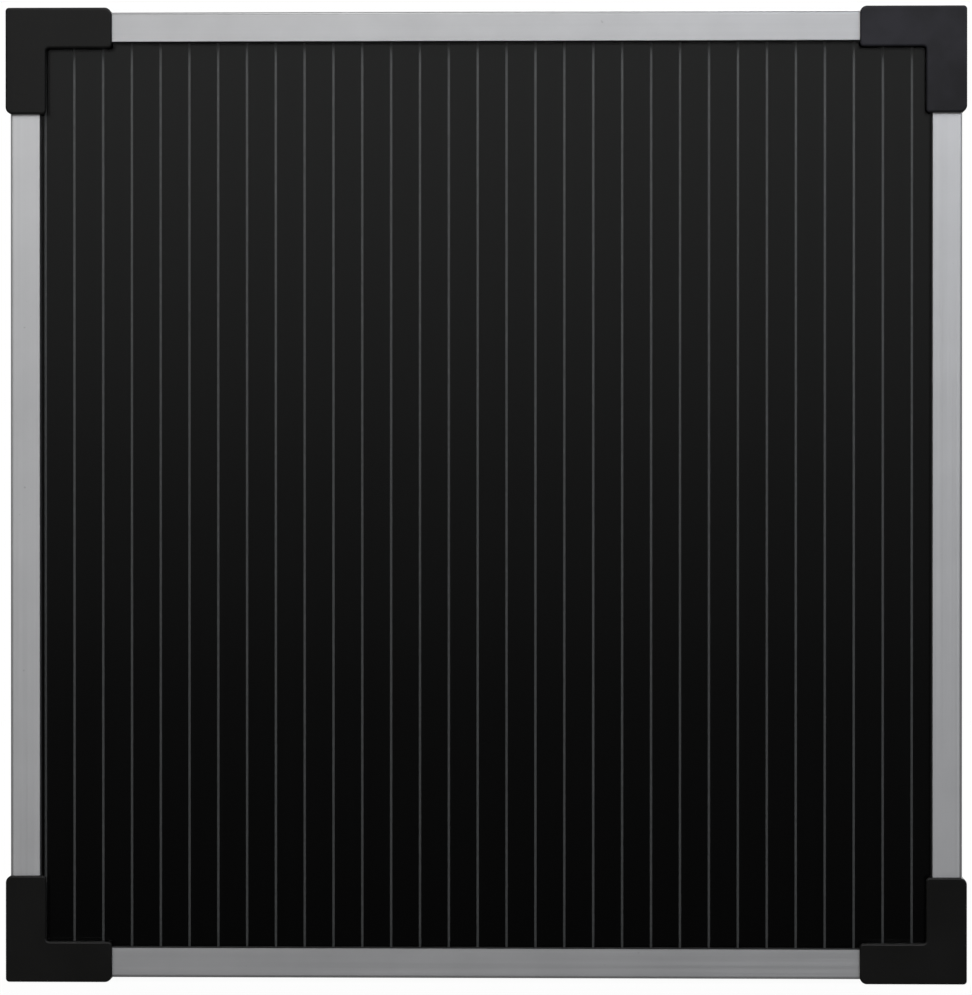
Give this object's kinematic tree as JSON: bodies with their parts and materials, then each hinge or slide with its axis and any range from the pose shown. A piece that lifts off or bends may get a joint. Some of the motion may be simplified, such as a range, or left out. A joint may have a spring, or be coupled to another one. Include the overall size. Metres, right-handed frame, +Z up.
{
  "type": "framed thin-film solar panel",
  "caption": "Small upright framed solar panel: striped dark cells behind glass, satin metal frame, black corner covers, rear junction box with a hinged lid.",
  "frame": {"origin": "on the ground under the middle of the panel, midway through its depth, where the bottom corner covers rest", "axes": "+X to the right seen from the glass side, -Y out of the glass, +Y out of the rear, +Z up the panel"},
  "size_m": [0.32, 0.022, 0.325],
  "materials": {
    "anodised_aluminium": "satin anodised, fine lengthwise brush",
    "cover_plastic": "fine moulded grain",
    "key_plastic": "moulded",
    "gasket_rubber": "matt extruded rubber",
    "screw_steel": "zinc plated",
    "front_glass": "clear float glass",
    "thin_film": "near-black amorphous silicon behind glass",
    "scribed_line": "pale grey laser-scribed join",
    "contact_film": "evaporated metal film",
    "encapsulant": "clear laminated polymer",
    "back_glass": "clear float glass",
    "tinned_copper": "tinned",
    "insulating_film": "thin polyester film",
    "label_film": "blank silver film",
    "foam_tape": "closed-cell foam",
    "box_plastic": "fine moulded grain",
    "terminal_brass": "machined",
    "diode_resin": "moulded resin with a pale cathode band"
  },
  "bodies": {
    "panel": {"frame_rail_bottom": "anodised_aluminium", "edge_gasket_bottom": "gasket_rubber", "frame_rail_left": "anodised_aluminium", "edge_gasket_left": "gasket_rubber", "frame_rail_top": "anodised_aluminium", "edge_gasket_top": "gasket_rubber", "frame_rail_right": "anodised_aluminium", "edge_gasket_right": "gasket_rubber", "corner_key_bottom_left": "key_plastic", "corner_cover_bottom_left": "cover_plastic", "corner_key_top_left": "key_plastic", "corner_cover_top_left": "cover_plastic", "corner_key_top_right": "key_plastic", "corner_cover_top_right": "cover_plastic", "corner_key_bottom_right": "key_plastic", "corner_cover_bottom_right": "cover_plastic", "corner_screws": "screw_steel", "front_glass": "front_glass", "cell_strips": "thin_film", "cell_interconnects": "scribed_line", "back_contacts": "contact_film", "encapsulant_sheet": "encapsulant", "back_glass": "back_glass", "busbar_negative": "tinned_copper", "busbar_positive": "tinned_copper", "lead_ribbon_negative": "tinned_copper", "lead_ribbon_positive": "tinned_copper", "ribbon_insulator": "insulating_film", "rating_label": "label_film", "box_adhesive_pad": "foam_tape", "junction_box_base": "box_plastic", "lid_seal": "gasket_rubber", "hinge_pin": "screw_steel", "terminal_positive": "terminal_brass", "terminal_negative": "terminal_brass", "terminal_screws": "screw_steel", "blocking_diode": "diode_resin", "diode_leads": "tinned_copper", "gland_nut": "box_plastic", "gland_seal": "gasket_rubber"},
    "lid": {"junction_box_lid": "box_plastic"}
  },
  "joints": [
    {"name": "lid_hinge", "type": "hinge", "parent": "panel", "child": "lid", "pos_m": [0, 0.007, 0.2799], "axis": [1, 0, 0], "range_deg": [0, 110]}
  ]
}
